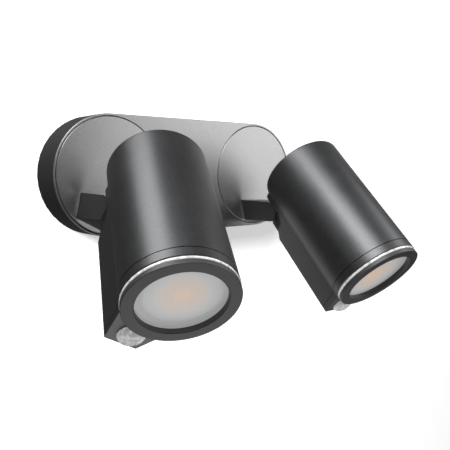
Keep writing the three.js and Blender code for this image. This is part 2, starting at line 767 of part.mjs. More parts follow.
function heatSink(front) {
  const base = rod(head.radius - head.wall - gap, front - optics.sinkBase, front, round);
  const finsEnd = front - optics.sinkBase - optics.sinkFinLength;
  const finReach = head.radius - optics.sinkInset;
  let made = base.add(rod(optics.sinkCore, finsEnd, front, small));
  for (let i = 0; i < optics.sinkFins / 2; i += 1) {
    const half = optics.sinkFinThickness / 2;
    const vane = toGeometry(block(-finReach, finReach, -half, half, finsEnd, front - 1));
    made = made.add(solid(vane.rotateZ((2 * Math.PI * i) / optics.sinkFins)));
  }
  return made;
}

// Runs from the hinge into the keel's hollow, forward under the heat sink's fins and up to the LED board.
function headCable(sinkFront) {
  const low = head.radius - head.wall - cable.radius - gap;
  const halfway = (sinkFront - keelCavityEnd) / 2;
  const points = [
    [0, -low + 2, -head.pivotDepth + 2],
    [0, -low + 1, -keelCavityEnd - 10],
    [0, -low + 1, -keelCavityEnd - 3],
    [0, -low - 2, -keelCavityEnd + 5],
    [0, -sensor.middle + 4, -keelCavityEnd + 15],
    [0, -sensor.middle + 3, halfway],
    [0, -sensor.middle + 3, sinkFront - 5],
    [0, -low - 4, sinkFront + 3],
    [0, -optics.boardRadius - 2.5, sinkFront + 2.8],
  ];
  return cableAlong(points, cable.headSteps);
}

function lampHead(group, label) {
  piece(group, `${label}_casing`, casing(), 'anthracite');
  piece(group, `${label}_front_collar`, frontCollar(), 'anthracite');
  piece(group, `${label}_sensor_lens`, sensorLens(), 'clearPlastic');
  piece(group, `${label}_bezel`, bezel(), 'bezelBlack');
  const inside = rim.skirtRadius - rim.skirtWall - gap;
  const glassBack = -glass.recess - glass.thickness;
  piece(group, `${label}_glass`, rod(inside, glassBack, -glass.recess, round), 'frostedGlass');
  const sealBack = glassBack - gap - optics.sealThickness;
  const sealOuter = inside - gap;
  const glassSeal = tube(sealOuter, sealOuter - optics.sealWidth, sealBack, glassBack - gap);
  piece(group, `${label}_glass_seal`, glassSeal, 'rubber');
  const mouth = sealBack - gap;
  const flange = mouth - optics.reflectorRim;
  const throat = -optics.reflectorDepth;
  const wide = inside - optics.reflectorRimWidth;
  const reflector = turned([
    [inside, mouth],
    [inside, flange],
    [wide, flange],
    [optics.reflectorThroat + optics.reflectorWall, throat],
    [optics.reflectorThroat, throat],
    [wide - optics.reflectorWall, mouth],
  ]);
  piece(group, `${label}_reflector`, reflector, 'reflectorSilver');
  const chipFront = throat - gap;
  const chipBack = chipFront - optics.chipThickness;
  piece(group, `${label}_led_chip`, rod(optics.chipRadius, chipBack, chipFront), 'phosphor');
  const boardFront = chipBack - gap;
  const boardBack = boardFront - optics.boardThickness;
  piece(group, `${label}_led_board`, rod(optics.boardRadius, boardBack, boardFront, medium), 'boardWhite');
  const sinkFront = boardBack - gap;
  piece(group, `${label}_heat_sink`, heatSink(sinkFront), 'bareAluminium');
  const { middle, boardHalfWidth, boardHalfHeight, boardDepth } = sensor;
  const top = -middle + boardHalfHeight;
  const bottom = -middle - boardHalfHeight;
  const back = -boardDepth - board.thickness;
  const sensorBoard = block(-boardHalfWidth, boardHalfWidth, bottom, top, back, -boardDepth);
  piece(group, `${label}_sensor_board`, sensorBoard, 'circuitGreen');
  const can = rod(sensor.canRadius, -boardDepth + gap, -boardDepth + gap + sensor.canHeight);
  piece(group, `${label}_motion_sensor`, move(can, 0, -middle, 0), 'zincSteel');
  piece(group, `${label}_head_cable`, headCable(sinkFront), 'cableGrey');
}

// ---- Assembly ----

const lamp = new THREE.Group();
const wallFrame = new THREE.Group();
wallFrame.rotation.x = Math.PI / 2;
lamp.add(wallFrame);
wallBox(wallFrame);

for (const [label, side, swivel] of [['left', -1, rest.leftSwivel], ['right', 1, rest.rightSwivel]]) {
  const discFrame = new THREE.Group();
  discFrame.position.set((side * box.spacing) / 2, 0, box.depth);
  discFrame.rotation.z = THREE.MathUtils.degToRad(swivel);
  wallFrame.add(discFrame);
  discAndArm(discFrame, label);

  const tiltFrame = new THREE.Group();
  tiltFrame.position.set(0, -arm.drop, arm.pivotOut);
  tiltFrame.rotation.x = THREE.MathUtils.degToRad(rest.tilt);
  discFrame.add(tiltFrame);
  const headFrame = new THREE.Group();
  headFrame.position.set(0, head.pivotOff, head.pivotDepth);
  tiltFrame.add(headFrame);
  lampHead(headFrame, label);
}

export default lamp;
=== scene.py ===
# Twin wall spotlight with motion sensors: the looks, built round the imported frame.
# Lengths in the dictionaries are millimetres in a piece's own frame. place() brings them to metres
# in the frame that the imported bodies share.
import json
from math import atan2, cos, pi, radians, sin, sqrt

import bmesh
import bpy
from mathutils import Matrix, Vector


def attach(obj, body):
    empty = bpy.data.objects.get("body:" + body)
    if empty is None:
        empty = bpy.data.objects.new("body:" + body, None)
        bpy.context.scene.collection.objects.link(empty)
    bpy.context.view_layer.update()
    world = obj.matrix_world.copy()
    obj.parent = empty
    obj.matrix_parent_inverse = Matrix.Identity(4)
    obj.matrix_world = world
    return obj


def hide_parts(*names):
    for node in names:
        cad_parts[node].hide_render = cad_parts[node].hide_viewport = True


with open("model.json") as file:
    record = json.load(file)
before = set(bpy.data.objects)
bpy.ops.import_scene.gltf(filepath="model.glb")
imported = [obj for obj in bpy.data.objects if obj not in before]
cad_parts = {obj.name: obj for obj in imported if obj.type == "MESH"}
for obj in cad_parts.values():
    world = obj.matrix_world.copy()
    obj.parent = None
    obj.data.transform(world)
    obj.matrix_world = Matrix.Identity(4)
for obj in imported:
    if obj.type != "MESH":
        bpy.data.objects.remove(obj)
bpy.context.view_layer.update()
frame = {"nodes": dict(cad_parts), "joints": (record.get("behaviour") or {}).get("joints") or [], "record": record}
nodes = frame["nodes"]
joints = {j["name"]: j for j in frame["joints"]}
sides = ("left", "right")
print("frame loaded:", len(nodes), "nodes")


class Signal:
    # a number output of a node, so that shader maths reads as plain sums
    def __init__(self, finish, socket):
        self.finish, self.socket = finish, socket

    def maths(self, operation, a, b):
        return self.finish.node("Math", {"operation": operation}, {0: a, 1: b})

    def __add__(self, other):
        return self.maths("ADD", self, other)

    def __radd__(self, other):
        return self.maths("ADD", other, self)

    def __sub__(self, other):
        return self.maths("SUBTRACT", self, other)

    def __rsub__(self, other):
        return self.maths("SUBTRACT", other, self)

    def __mul__(self, other):
        return self.maths("MULTIPLY", self, other)

    def __rmul__(self, other):
        return self.maths("MULTIPLY", other, self)

    def __truediv__(self, other):
        return self.maths("DIVIDE", self, other)


class Finish:
    # a material with one shader, whose sockets that stay the same all over are set straight away
    def __init__(self, name, **fixed):
        self.material = bpy.data.materials.new(name)
        self.material.use_nodes = True
        self.tree = self.material.node_tree
        self.tree.nodes.clear()
        self.surface = self.tree.nodes.new("ShaderNodeBsdfPrincipled")
        self.output = self.tree.nodes.new("ShaderNodeOutputMaterial")
        self.tree.links.new(self.surface.outputs[0], self.output.inputs["Surface"])
        for socket, value in fixed.items():
            self.surface.inputs[socket.replace("_", " ")].default_value = value

    def node(self, kind, settings=None, sockets=None, out=0):
        made = self.tree.nodes.new("ShaderNode" + kind)
        for key, value in (settings or {}).items():
            if key == "stops":
                ramp = made.color_ramp
                for i, (at, shade) in enumerate(value):
                    stop = ramp.elements[i] if i < 2 else ramp.elements.new(at)
                    stop.position = at
                    stop.color = shade
            else:
                setattr(made, key, value)
        for key, value in (sockets or {}).items():
            if isinstance(value, Signal):
                self.tree.links.new(value.socket, made.inputs[key])
            else:
                made.inputs[key].default_value = value
        return Signal(self, made.outputs[out])

    def feed(self, socket, signal):
        self.tree.links.new(signal.socket, self.surface.inputs[socket])

    def coordinates(self):
        return self.node("TexCoord", out="Object")

    def noise(self, scale, detail=2.0):
        return self.node("TexNoise", None, {"Vector": self.coordinates(), "Scale": scale, "Detail": detail})

    def blend(self, factor, a, b):
        # a colour mix has its two colours at sockets 6 and 7 and its result at output 2
        return self.node("Mix", {"data_type": "RGBA"}, {"Factor": factor, 6: a, 7: b}, out=2)

    def bump(self, height, strength, distance):
        return self.node("Bump", None, {"Height": height, "Strength": strength, "Distance": distance})


def grey(level, tint=(1, 1, 1)):
    return (level * tint[0], level * tint[1], level * tint[2], 1)


skinDepth = 0.0001  # metres that a bump of full strength stands up


def paint(name, look):
    # satin metallic paint: a fine flake that glitters, slow clouding and a faint orange-peel skin
    made = Finish(name, Metallic=look["metallic"])
    flake = made.noise(look["flakeScale"], 1.0)
    cloud = made.noise(look["cloudScale"], 3.0)
    tone = (flake - 0.5) * look["flake"] + (cloud - 0.5) * look["cloud"] + 0.5
    colour = made.blend(tone, grey(look["dark"], look["tint"]), grey(look["light"], look["tint"]))
    made.feed("Base Color", colour)
    unevenness = (flake - 0.5) * look["roughFlake"] + (cloud - 0.5) * look["roughCloud"]
    made.feed("Roughness", unevenness + look["roughness"])
    skin = made.noise(look["skinScale"], 2.0)
    made.feed("Normal", made.bump(skin + flake * look["flakeInSkin"], look["bump"], skinDepth))
    return made.material


finishes = {}
finishes["grey_satin"] = paint("grey_satin", {
    "dark": 0.22, "light": 0.42, "tint": (1, 1, 1.005), "metallic": 1.0,
    "flakeScale": 1500, "flake": 0.9, "cloudScale": 60, "cloud": 0.25, "roughness": 0.46,
    "roughFlake": 0.12, "roughCloud": 0.05, "skinScale": 900, "flakeInSkin": 0.4, "bump": 0.12})
finishes["anthracite"] = paint("anthracite", {
    "dark": 0.055, "light": 0.17, "tint": (0.985, 1, 1.03), "metallic": 0.9,
    "flakeScale": 1600, "flake": 0.8, "cloudScale": 70, "cloud": 0.2, "roughness": 0.4,
    "roughFlake": 0.1, "roughCloud": 0.05, "skinScale": 900, "flakeInSkin": 0.4, "bump": 0.1})
# darker than the anthracite: the arms wear it, and on the box's outside wall it is painted shade
finishes["anthracite_dark"] = paint("anthracite_dark", {
    "dark": 0.032, "light": 0.07, "tint": (1, 1, 1.02), "metallic": 0.4,
    "flakeScale": 1300, "flake": 1.0, "cloudScale": 60, "cloud": 0.2, "roughness": 0.5,
    "roughFlake": 0.15, "roughCloud": 0.05, "skinScale": 700, "flakeInSkin": 0.4, "bump": 0.3})
finishes["bezel_black"] = paint("bezel_black", {
    "dark": 0.05, "light": 0.10, "tint": (1, 1, 1.01), "metallic": 0.35,
    "flakeScale": 1500, "flake": 0.5, "cloudScale": 60, "cloud": 0.2, "roughness": 0.45,
    "roughFlake": 0.1, "roughCloud": 0.05, "skinScale": 900, "flakeInSkin": 0.4, "bump": 0.1})


stock = {"metallic": 0, "roughGrain": 0.2, "bump": 0.15}


def simple(name, look):
    # moulded, cast or plated stock: two tones of one colour, with its own grain
    made = Finish(name, Metallic=look.get("metallic", stock["metallic"]))
    grain = made.noise(look["scale"], 3.0)
    made.feed("Base Color", made.blend(grain, look["low"], look["high"]))
    made.feed("Roughness", (grain - 0.5) * stock["roughGrain"] + look["roughness"])
    made.feed("Normal", made.bump(grain, look.get("bump", stock["bump"]), skinDepth))
    return made.material


simpleLooks = {
    "rubber": {"low": grey(0.010), "high": grey(0.022), "roughness": 0.8, "scale": 900, "bump": 0.3},
    "zinc_steel": {
        "low": grey(0.42), "high": grey(0.62, (1, 1, 0.97)), "roughness": 0.38, "scale": 260,
        "metallic": 0.95},
    "bare_aluminium": {
        "low": grey(0.50), "high": grey(0.66), "roughness": 0.45, "scale": 600, "metallic": 0.95},
    "reflector_silver": {
        "low": grey(0.78), "high": grey(0.86), "roughness": 0.18, "scale": 120, "metallic": 1},
    "circuit_green": {
        "low": (0.010, 0.075, 0.03, 1), "high": (0.02, 0.13, 0.055, 1), "roughness": 0.45, "scale": 300},
    "board_white": {"low": grey(0.74), "high": grey(0.82), "roughness": 0.5, "scale": 300},
    "phosphor": {"low": (0.8, 0.45, 0.05, 1), "high": (0.9, 0.6, 0.1, 1), "roughness": 0.5, "scale": 500},
    "white_plastic": {"low": grey(0.62), "high": grey(0.72), "roughness": 0.5, "scale": 700},
    "black_plastic": {"low": grey(0.015), "high": grey(0.026), "roughness": 0.5, "scale": 800},
    "copper_tape": {
        "low": (0.42, 0.2, 0.03, 1), "high": (0.56, 0.3, 0.06, 1), "roughness": 0.4, "scale": 200},
    "cable_grey": {"low": grey(0.2), "high": grey(0.27), "roughness": 0.6, "scale": 700},
}
for slotName, look in simpleLooks.items():
    finishes[slotName] = simple(slotName, look)

# clear moulding, milky in streaks, that lets a little light through and glows faintly in its milky colour: painted
# light, for the light the clear ring catches
clear = Finish("clear_plastic", Roughness=0.12, Transmission_Weight=0.15, Emission_Strength=0.2, IOR=1.49,
               Coat_Weight=0.6, Coat_Roughness=0.05)
clearLook = {"grainScale": 240, "streakScale": 380, "contrast": 3, "balance": 0.6, "low": 0.5, "high": 0.97,
             "streakInSkin": 0.3, "bump": 0.25, "depth": 0.0003}
clearGrain = clear.noise(clearLook["grainScale"])
streak = clear.noise(clearLook["streakScale"], 3.0)
milkiness = (streak - 0.5) * clearLook["contrast"] + clearLook["balance"]
milky = clear.blend(milkiness, grey(clearLook["low"]), grey(clearLook["high"]))
clear.feed("Base Color", milky)
# the milky colour also glows: painted light
clear.feed("Emission Color", milky)
clearSkin = clearGrain + streak * clearLook["streakInSkin"]
clear.feed("Normal", clear.bump(clearSkin, clearLook["bump"], clearLook["depth"]))
finishes["clear_plastic"] = clear.material
print("finishes made:", len(finishes))


# the tilt axis as seen from the disc, and the beam axis and front rim as seen from the tilt axis
hingeAt = {"drop": 34.7, "out": 36.1, "restTilt": 45, "pivotOff": 45.8, "pivotDepth": 114.3}
mm = Matrix.Scale(0.001, 4)
wallFrame = Matrix.Rotation(pi / 2, 4, "X") @ mm


def discFrame(side):
    # x along the tilt axis, z out of the disc's face, origin at the middle of that face
    across = Vector(joints[side + "_tilt"]["axis"])
    out = Vector(joints[side + "_swivel"]["axis"])
    made = Matrix((across, out.cross(across), out)).transposed().to_4x4()
    made.translation = Vector(joints[side + "_swivel"]["pos_m"])
    return made @ mm


def headFrame(side):
    # z along the beam, y away from the keel, origin at the middle of the front rim
    pivot = Matrix.Translation((0, -hingeAt["drop"], hingeAt["out"]))
    turn = Matrix.Rotation(radians(hingeAt["restTilt"]), 4, "X")
    rimCentre = Matrix.Translation((0, hingeAt["pivotOff"], hingeAt["pivotDepth"]))
    return discFrame(side) @ pivot @ turn @ rimCentre


def circle(bm, radius, z, sideCount, x=0):
    # half a step of turn keeps every corner off the axes
    at = Matrix.Translation((x, 0, z)) @ Matrix.Rotation(pi / sideCount, 4, "Z")
    made = bmesh.ops.create_circle(bm, segments=sideCount, radius=radius, matrix=at)
    return loopEdges(made["verts"])


def loopEdges(verts):
    chosen = set(verts)
    around = {e for v in verts for e in v.link_edges}
    return [e for e in around if e.verts[0] in chosen and e.verts[1] in chosen]


def onlyVerts(made):
    return [v for v in made if isinstance(v, bmesh.types.BMVert)]


def onlyEdges(made):
    return [e for e in made if isinstance(e, bmesh.types.BMEdge)]


def quarterTurn(steps):
    return [i / steps * pi / 2 for i in range(steps + 1)]


def halfTurn(steps):
    return [i * pi / steps for i in range(steps + 1)]


def drawOut(bm, edges, move):
    # extrudes an edge loop and moves its new corners
    made = bmesh.ops.extrude_edge_only(bm, edges=edges)["geom"]
    for v in onlyVerts(made):
        v.co = move(v.co.copy())
    return onlyEdges(made)


def ringTo(x, by, z):
    # moves a corner of a ring towards or away from its centre at x, and to a height
    return lambda co: Vector((x + (co.x - x) * by, co.y * by, z))


def thicken(bm, faces, move):
    # extrudes flat faces into a block
    made = bmesh.ops.extrude_face_region(bm, geom=faces)["geom"]
    bmesh.ops.translate(bm, vec=move, verts=onlyVerts(made))
    return bm


def turned(profile, sideCount):
    # a closed outline of (radius, z) corners, spun about z
    bm = bmesh.new()
    verts = [bm.verts.new((r, 0, z)) for r, z in profile]
    for a, b in zip(verts, verts[1:] + verts[:1]):
        if a.co.x > 0 or b.co.x > 0:
            bm.edges.new((a, b))
    bmesh.ops.spin(bm, geom=bm.verts[:] + bm.edges[:], cent=(0, 0, 0), axis=(0, 0, 1), angle=2 * pi,
                   steps=sideCount, use_merge=True, use_duplicate=False)
    bmesh.ops.remove_doubles(bm, verts=bm.verts, dist=1e-4)
    return bm


def outwards(bm):
    bmesh.ops.recalc_face_normals(bm, faces=bm.faces)
    if bm.calc_volume(signed=True) < 0:
        bmesh.ops.reverse_faces(bm, faces=bm.faces)
    return bm


def carve(bm, tool, operation="DIFFERENCE"):
    # boolean of two closed shapes, which are both used up
    pair = []
    for each in (outwards(bm), outwards(tool)):
        mesh = bpy.data.meshes.new("shape")
        each.to_mesh(mesh)
        each.free()
        pair.append(bpy.data.objects.new("shape", mesh))
        bpy.context.scene.collection.objects.link(pair[-1])
    boolean = pair[0].modifiers.new("cut", "BOOLEAN")
    boolean.operation = operation
    boolean.solver = "EXACT"
    boolean.object = pair[1]
    bpy.context.view_layer.update()
    result = pair[0].evaluated_get(bpy.context.evaluated_depsgraph_get()).to_mesh()
    made = bmesh.new()
    made.from_mesh(result)
    for ob in pair:
        mesh = ob.data
        bpy.data.objects.remove(ob)
        bpy.data.meshes.remove(mesh)
    return made


def soften(bm, edges, width, segments=3):
    bmesh.ops.bevel(bm, geom=edges, offset=width, offset_type="OFFSET", segments=segments, profile=0.5,
                    affect="EDGES", material=-1, clamp_overlap=True)


def sharpEdges(bm, angle, keep):
    # edges that fold by more than an angle in degrees and pass a test of where they are
    limit = radians(angle)
    return [e for e in bm.edges if e.is_manifold and e.calc_face_angle(0) > limit and keep(e)]


def middle(edge):
    return (edge.verts[0].co + edge.verts[1].co) / 2


def place(bm, name, matrix, body, material, replaced, smoothAngle=32, weighted=True, second=None):
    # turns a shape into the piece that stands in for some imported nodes
    outwards(bm)
    for f in bm.faces:
        f.smooth = True
    for e in bm.edges:
        if e.is_manifold:
            e.smooth = e.calc_face_angle(0) < radians(smoothAngle)
    bmesh.ops.transform(bm, matrix=matrix, verts=bm.verts)
    mesh = bpy.data.meshes.new(name)
    bm.to_mesh(mesh)
    bm.free()
    ob = bpy.data.objects.new(name, mesh)
    bpy.context.scene.collection.objects.link(ob)
    mesh.materials.append(finishes[material])
    if second:
        mesh.materials.append(finishes[second])
    if weighted:
        flat = ob.modifiers.new("flat faces stay flat", "WEIGHTED_NORMAL")
        flat.keep_sharp = True
    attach(ob, body)
    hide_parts(*replaced)
    return ob


wallBox = {"spacing": 159, "radius": 50, "back": 1.5, "depth": 31.5, "wall": 2.5, "rimRound": 0.7,
           "rimTurns": 5, "sideCount": 192, "seatRadius": 48.3, "seatDepth": 5, "seatSides": 160,
           "floor": 3, "holeRadius": 14.3, "edge": 0.25, "shadeStep": 1, "upright": 0.1, "wideFace": 20}


def obround(bm, radius, z):
    # a circle pulled apart along x
    edges = circle(bm, radius, z, wallBox["sideCount"])
    for v in {v for e in edges for v in e.verts}:
        v.co.x += wallBox["spacing"] / 2 * (1 if v.co.x > 0 else -1)
    return edges


def growObround(by, rise):
    # moves a corner of an obround outline outwards by a distance and along z
    def move(co):
        centre = Vector((wallBox["spacing"] / 2 * (1 if co.x > 0 else -1), 0, co.z))
        out = (co - centre).normalized()
        return co + out * by + Vector((0, 0, rise))
    return move


def makeHousing():
    s = wallBox
    bm = bmesh.new()
    half = s["spacing"] / 2
    seatFloor = s["depth"] - s["seatDepth"]
    floorBack = seatFloor - s["floor"]
    # outside wall with a small round on the front rim
    wall = obround(bm, s["radius"], s["back"])
    inner = drawOut(bm, wall, growObround(-s["wall"], 0))
    inner = drawOut(bm, inner, growObround(0, floorBack - s["back"]))
    outer = drawOut(bm, wall, growObround(0, s["depth"] - s["back"] - s["rimRound"]))
    angles = quarterTurn(s["rimTurns"])
    for a, b in zip(angles, angles[1:]):
        inward, rise = s["rimRound"] * (cos(a) - cos(b)), s["rimRound"] * (sin(b) - sin(a))
        outer = drawOut(bm, outer, growObround(-inward, rise))
    faces, backs = list(outer), list(inner)
    for x in (-half, half):
        # seat for the disc, with a fine broken edge
        lip = circle(bm, s["seatRadius"] + s["edge"], s["depth"], s["seatSides"], x)
        faces += lip
        shrink = s["seatRadius"] / (s["seatRadius"] + s["edge"])
        ring = drawOut(bm, lip, ringTo(x, shrink, s["depth"] - s["edge"]))
        ring = drawOut(bm, ring, ringTo(x, 1, seatFloor))
        ring = drawOut(bm, ring, ringTo(x, s["holeRadius"] / s["seatRadius"], seatFloor))
        backs += drawOut(bm, ring, ringTo(x, 1, floorBack))
    bmesh.ops.triangle_fill(bm, edges=faces, use_beauty=True)
    bmesh.ops.triangle_fill(bm, edges=backs, use_beauty=True)
    # the tall outside wall and all that is behind the seats take the dark finish as painted shade, as dark as the
    # side looks where it faces away from the lamps; the front is satin grey
    for f in bm.faces:
        behind = f.calc_center_median().z < seatFloor - s["shadeStep"]
        tall = abs(f.normal.z) < s["upright"] and f.calc_area() > s["wideFace"]
        f.material_index = int(behind or tall)
    return bm


# the second, dark finish is painted shade on the box's side
place(makeHousing(), "box_housing", wallFrame, "wall_box", "grey_satin", ["housing"],
      second="anthracite_dark")
print("wall box made")


disc = {"radius": 47.75, "back": -4.7, "rise": 2.3, "edge": 0.35, "sideCount": 160, "spigot": 14, "bore": 9,
        "spigotEnd": -16.6, "boreEnd": -1, "linear": 0.5, "curl": 9, "steps": 14, "crowding": 1.5}
arm = {"drop": 34.7, "height": 19.6, "topHalf": 19.4, "bottomHalf": 14.1, "corner": 1.0, "root": 2.6,
       "pivotOut": 36.1, "knuckle": 9.3, "knuckleSteps": 32, "endScale": 0.95, "edge": 0.5,
       "rootEdge": 0.25, "slotHalf": 7.2, "slotGap": 0.6, "slotReach": 30, "slotTop": 60, "boltHead": 5.3,
       "boltSeat": 12.3, "boltReach": 40, "boltSides": 48, "sharp": 30, "rootSharp": 50, "rootBand": 0.05}


def nearestOnTrapezoid(point, inset):
    # nearest point, to one outside, on the arm's section with its corners rounded by inset
    a = arm
    top, bottom = a["height"] / 2 - a["drop"] - inset, -a["height"] / 2 - a["drop"] + inset
    th, bh = a["topHalf"] - inset, a["bottomHalf"] - inset
    corners = [Vector((-th, top)), Vector((th, top)), Vector((bh, bottom)), Vector((-bh, bottom))]
    best = None
    for p, q in zip(corners, corners[1:] + corners[:1]):
        along = q - p
        t = max(0, min(1, (point - p).dot(along) / along.length_squared))
        near = p + along * t
        if best is None or (point - near).length < (point - best).length:
            best = near
    return best + (point - best).normalized() * inset


def towardsArm(step, share):
    # slides a corner along its straight line to the foot of the arm, curling up at the arm's two sides
    def move(co):
        here = Vector((co.x, co.y))
        way = nearestOnTrapezoid(here, arm["corner"]) - here
        sideways = (way.normalized().x) ** 2 if way.length > 0 else 1
        linear = 1 - (1 - disc["linear"]) * sideways
        z = disc["rise"] * (linear * share + (1 - linear) * share ** disc["curl"])
        return Vector((here.x + way.x * step, here.y + way.y * step, z))
    return move


def radial(radius, z):
    return lambda co: Vector((co.x, co.y, 0)).normalized() * radius + Vector((0, 0, z))


def makeDisc():
    d = disc
    bm = bmesh.new()
    face = circle(bm, d["radius"] - d["edge"], 0, d["sideCount"])
    ring = drawOut(bm, face, radial(d["radius"], -d["edge"]))
    for radius, z in ((d["radius"], d["back"]), (d["spigot"], d["back"]), (d["spigot"], d["spigotEnd"]),
                      (d["bore"], d["spigotEnd"]), (d["bore"], d["boreEnd"])):
        ring = drawOut(bm, ring, radial(radius, z))
    bmesh.ops.edgeloop_fill(bm, edges=ring)
    # the front rises gently from the rim, then curls up to the foot of the arm
    done = 0
    for i in range(d["steps"]):
        share = 1 - (1 - (i + 1) / d["steps"]) ** d["crowding"]
        face = drawOut(bm, face, towardsArm((share - done) / (1 - done), share))
        done = share
    bmesh.ops.edgeloop_fill(bm, edges=face)
    return bm


def sideShape(outline, halfWidth):
    # an outline of (y, z) corners made a block from -halfWidth to halfWidth along x
    bm = bmesh.new()
    face = bm.faces.new([bm.verts.new((-halfWidth, y, z)) for y, z in outline])
    return thicken(bm, [face], (2 * halfWidth, 0, 0))


def roller(radius, xFrom, xTo, z, sideCount):
    # a cylinder that lies along x
    bm = bmesh.new()
    lie = Matrix.Translation(((xFrom + xTo) / 2, 0, z)) @ Matrix.Rotation(pi / 2, 4, "Y")
    bmesh.ops.create_cone(bm, cap_ends=True, segments=sideCount, radius1=radius, radius2=radius,
                          depth=xTo - xFrom, matrix=lie)
    return bm


def brick(xFrom, xTo, yFrom, yTo, zFrom, zTo):
    bm = bmesh.new()
    size = Matrix.Diagonal((xTo - xFrom, yTo - yFrom, zTo - zFrom, 1))
    centre = Matrix.Translation(((xFrom + xTo) / 2, (yFrom + yTo) / 2, (zFrom + zTo) / 2))
    bmesh.ops.create_cube(bm, size=1, matrix=centre @ size)
    return bm


def makeArm():
    a = arm
    top, bottom = a["height"] / 2, -a["height"] / 2
    outline = [(top, a["root"])]
    for t in halfTurn(a["knuckleSteps"]):
        outline.append((a["knuckle"] * cos(t), a["pivotOut"] + a["knuckle"] * sin(t)))
    outline.append((bottom, a["root"]))
    bm = sideShape(outline, 1)
    reachOut = a["pivotOut"] + a["knuckle"] - a["root"]
    for v in bm.verts:
        # trapezoid section, narrowing a little to the hinge
        down = (top - v.co.y) / a["height"]
        half = a["topHalf"] + (a["bottomHalf"] - a["topHalf"]) * down
        v.co.x *= half * (1 + (a["endScale"] - 1) * (v.co.z - a["root"]) / reachOut)
    slotFloor = a["pivotOut"] - a["knuckle"] - a["slotGap"]
    slot = brick(-a["slotHalf"], a["slotHalf"], -a["slotReach"], a["slotReach"], slotFloor, a["slotTop"])
    bm = carve(bm, slot)
    bm = carve(bm, roller(a["boltHead"], a["boltSeat"], a["boltReach"], a["pivotOut"], a["boltSides"]))
    soften(bm, sharpEdges(bm, a["sharp"], lambda e: middle(e).z > a["root"] + 2 * a["rootBand"]), a["edge"])
    foot = sharpEdges(bm, a["rootSharp"], lambda e: middle(e).z < a["root"] + a["rootBand"])
    soften(bm, foot, a["rootEdge"], 2)
    bmesh.ops.translate(bm, vec=(0, -a["drop"], 0), verts=bm.verts)
    return bm


for side in sides:
    place(makeDisc(), side + "_disc", discFrame(side), side + "_arm", "grey_satin", [side + "_swivel_disc"])
    place(makeArm(), side + "_fork_arm", discFrame(side), side + "_arm", "anthracite_dark", [side + "_arm"])
print("discs and arms made")


head = {"radius": 36.15, "length": 125.1, "rearRound": 2.7, "rearTurns": 6, "seam": 12, "shutLine": 0.3,
        "sideCount": 144, "collarEdge": 0.3, "gap": 0.3, "cutBack": -30}
keel = {"bottom": 54.8, "halfWidth": 12.5, "rootHalf": 20.8, "rootDepth": 29.2, "front": 7.1, "end": 88,
        "saddle": 50, "saddleEnd": 104.1, "pad": 36.2, "lugHalf": 5.6, "lugRadius": 9.0, "lugSteps": 24,
        "lugLap": 0.5, "fillet": 4, "filletSteps": 6, "corner": 1.0, "sharp": 28, "rootSpare": 0.5,
        "backSpare": 3.5, "frontSpare": 0.1, "hair": 0.01}
rim = {"ringBack": 5.2, "ringFront": 3.4, "ringRadius": 35.9, "ringEdge": 0.25, "bezelRadius": 35.7,
       "bezelEdge": 0.5, "bezelSteps": 4, "opening": 27.8, "openingEdge": 0.4, "bezel": 3.1,
       "skirt": 30.1, "skirtWall": 1.5, "skirtEnd": 16, "glassRecess": 4, "glassDepth": 3,
       "glassEdge": 0.3, "glassSides": 96}
lens = {"middle": 44.2, "halfWidth": 9.3, "halfHeight": 9.2, "bulge": 5.4, "base": -6.8, "around": 16,
        "rings": 12, "groove": 0.16, "grooveSlope": 0.6, "facetFacing": 0.05, "facetAbove": 0.1,
        "facetArea": (0.2, 8), "bridgeHalf": 5, "bridgeTuck": 4, "bridgeLap": 1, "bezelGap": 0.25,
        "cutFront": 20}


def keelFillet():
    # the round between casing and flank: its centre and the depths below the axis where it starts and ends
    k = keel
    root = Vector((k["rootHalf"], k["rootDepth"]))
    down = (Vector((k["halfWidth"], k["bottom"])) - root).normalized()
    out = Vector((down.y, -down.x))
    foot = root + out * k["fillet"]
    reach = (head["radius"] + k["fillet"]) ** 2 - foot.length_squared
    slide = sqrt(foot.dot(down) ** 2 + reach) - foot.dot(down)
    centre = foot + down * slide
    return centre, (centre.normalized() * head["radius"]).y, (root + down * slide).y


def keelHalf(below):
    # half width of the keel at a distance below the beam axis
    centre, _, last = keelFillet()
    if below < last:
        return centre.x - sqrt(keel["fillet"] ** 2 - (below - centre.y) ** 2)
    share = (below - keel["rootDepth"]) / (keel["bottom"] - keel["rootDepth"])
    return keel["rootHalf"] + (keel["halfWidth"] - keel["rootHalf"]) * share


def keelDepths():
    # where the flank has its corners: closely in the fillet, then only half way and at the bottom
    first, last = keelFillet()[1:]
    steps = keel["filletSteps"]
    depths = [first + (last - first) * i / steps for i in range(1, steps + 1)]
    return depths + [(last + keel["bottom"]) / 2, keel["bottom"]]


def headOutline(bm, z):
    # section of casing and keel: most of a circle, two flanks and a flat bottom
    first, depths = keelFillet()[1], keelDepths()
    rootAngle = atan2(-first, keelHalf(first))
    startVert = bm.verts.new((cos(rootAngle) * head["radius"], sin(rootAngle) * head["radius"], z))
    spun = bmesh.ops.spin(bm, geom=[startVert], cent=(0, 0, z), axis=(0, 0, 1), angle=pi - 2 * rootAngle,
                          steps=head["sideCount"], use_duplicate=False)
    corners = onlyVerts(spun["geom_last"])
    corners += [bm.verts.new((-keelHalf(below), -below, z)) for below in depths]
    corners += [bm.verts.new((keelHalf(below), -below, z)) for below in reversed(depths)]
    corners.append(startVert)
    for a, b in zip(corners, corners[1:]):
        bm.edges.new((a, b))
    return loopEdges(bm.verts)


def liftKeel(bottom, limit, z):
    # keeps the section but moves the keel's bottom from one depth to another, squeezing its flanks up
    last, hair = keelFillet()[2], keel["hair"]

    def move(co):
        x, below = co.x, -co.y
        if below > last + hair and co.xy.length > head["radius"] + hair:
            below = last + (limit - last) * (below - last) / (bottom - last)
            x = keelHalf(below) * (1 if x > 0 else -1)
        return Vector((x, -below, z))
    return move


